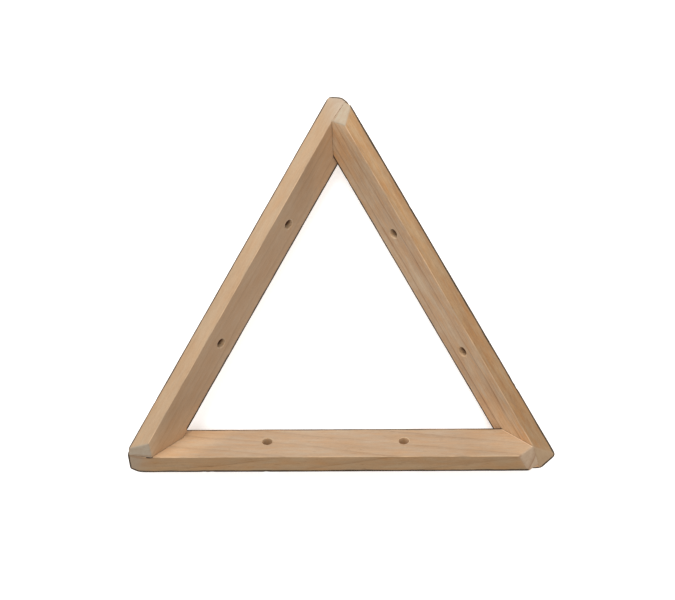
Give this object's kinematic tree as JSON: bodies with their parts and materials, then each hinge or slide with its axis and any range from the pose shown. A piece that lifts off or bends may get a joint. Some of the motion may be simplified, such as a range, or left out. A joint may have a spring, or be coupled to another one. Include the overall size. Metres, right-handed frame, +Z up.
{
  "type": "triangle rack",
  "caption": "Triangular wooden ball rack made of leaning rails butted end to face, with bevelled noses at the corners and round holes through the rails.",
  "frame": {"origin": "under the middle of the rack's box, in the plane of the surface it lies on", "axes": "+Z up out of the wide mouth, +Y towards the apex corner, +X along the bottom rail towards the right corner"},
  "size_m": [0.4594, 0.4024, 0.0646],
  "materials": {
    "left_rail_wood": "satin, pale straight grain",
    "right_rail_wood": "satin, redder, with dark growth lines along it",
    "bottom_rail_wood": "satin, with brown streaks and flecks",
    "dowel_wood": "plain, unfinished"
  },
  "bodies": {
    "root": {"left_rail": "left_rail_wood", "right_rail": "right_rail_wood", "bottom_rail": "bottom_rail_wood", "apex_upper_dowel": "dowel_wood", "apex_lower_dowel": "dowel_wood", "left_upper_dowel": "dowel_wood", "left_lower_dowel": "dowel_wood", "right_upper_dowel": "dowel_wood", "right_lower_dowel": "dowel_wood"}
  },
  "joints": []
}
